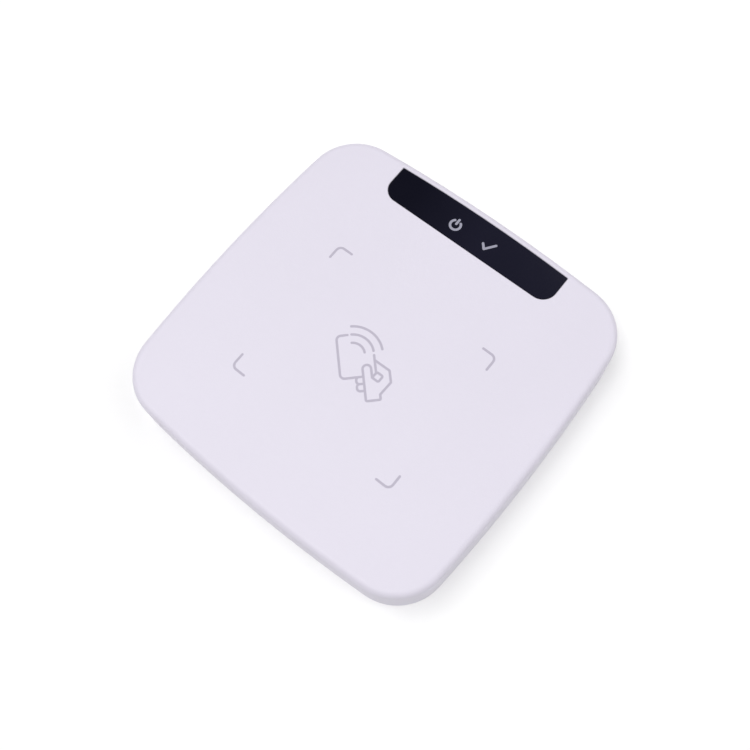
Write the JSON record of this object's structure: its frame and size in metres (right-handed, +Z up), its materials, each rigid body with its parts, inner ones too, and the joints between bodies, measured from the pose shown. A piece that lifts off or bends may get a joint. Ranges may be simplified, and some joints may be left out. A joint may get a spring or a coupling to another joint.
{
  "type": "ticket validator",
  "caption": "Flat square desktop contactless validator with a dark indicator window, a printed reading field and rear sockets.",
  "frame": {"origin": "on the surface it stands on, under the middle of the body", "axes": "+Z up out of the reading field, +Y towards the indicator window and the rear wall, +X along the window to the right"},
  "size_m": [0.11, 0.1094, 0.0185],
  "materials": {
    "cover_plastic": "fine moulded texture, white with a faint lavender cast",
    "base_plastic": "fine spark-eroded texture",
    "window_acrylic": "polished, smoked",
    "black_tape": "matte",
    "symbol_ink": "screen print",
    "mark_ink": "pad print",
    "clear_plastic": "clear",
    "black_plastic": "moulded",
    "chip_plastic": "moulded epoxy",
    "white_ceramic": "satin",
    "circuit_board": "solder mask",
    "copper": "copper track",
    "gold": "gold plated",
    "brass": "machined",
    "ferrite": "satin sheet",
    "steel": "zinc plated",
    "tinplate": "tinned sheet",
    "aluminium": "drawn can",
    "label_film": "satin film",
    "rubber": "moulded",
    "grey_plastic": "moulded",
    "card_plastic": "satin card"
  },
  "bodies": {
    "root": {"top_cover": "cover_plastic", "base_plate": "base_plastic", "indicator_window": "window_acrylic", "window_tape": "black_tape", "power_symbol": "symbol_ink", "status_symbol": "symbol_ink", "corner_marks": "mark_ink", "tap_symbol": "mark_ink", "power_light_guide": "clear_plastic", "status_light_guide": "clear_plastic", "light_guide_holder": "black_plastic", "board_header": "black_plastic", "usb_tongue": "black_plastic", "sam_contact_block": "black_plastic", "reset_switch": "black_plastic", "buzzer": "black_plastic", "controller_chip": "chip_plastic", "reader_chip": "chip_plastic", "memory_chips": "chip_plastic", "power_inductor": "chip_plastic", "voltage_regulator": "chip_plastic", "power_led": "white_ceramic", "status_led": "white_ceramic", "chip_passives": "white_ceramic", "main_board": "circuit_board", "antenna_board": "circuit_board", "antenna_coil": "copper", "header_pins": "gold", "usb_contacts": "gold", "sam_springs": "gold", "mounting_inserts": "brass", "antenna_spacers": "brass", "ferrite_sheet": "ferrite", "housing_screws": "steel", "board_screws": "steel", "antenna_screws": "steel", "controller_leads": "steel", "shield_can": "tinplate", "usb_shell": "tinplate", "sam_socket": "tinplate", "coin_cell_holder": "tinplate", "coin_cell": "tinplate", "crystal": "tinplate", "storage_capacitors": "aluminium", "rating_label": "label_film", "rubber_feet": "rubber"},
    "security_card_tray": {"sam_tray": "cover_plastic", "sam_card": "card_plastic", "sam_contacts": "gold"},
    "reset": {"reset_button": "cover_plastic", "reset_stem": "grey_plastic"}
  },
  "joints": [
    {"name": "tray_slide", "type": "slide", "parent": "root", "child": "security_card_tray", "axis": [0, 1, 0], "range_m": [0, 0.028]},
    {"name": "reset_press", "type": "slide", "parent": "root", "child": "reset", "axis": [0, -1, 0], "range_m": [0, 0.0005], "stiffness_N_per_m": 1500}
  ]
}
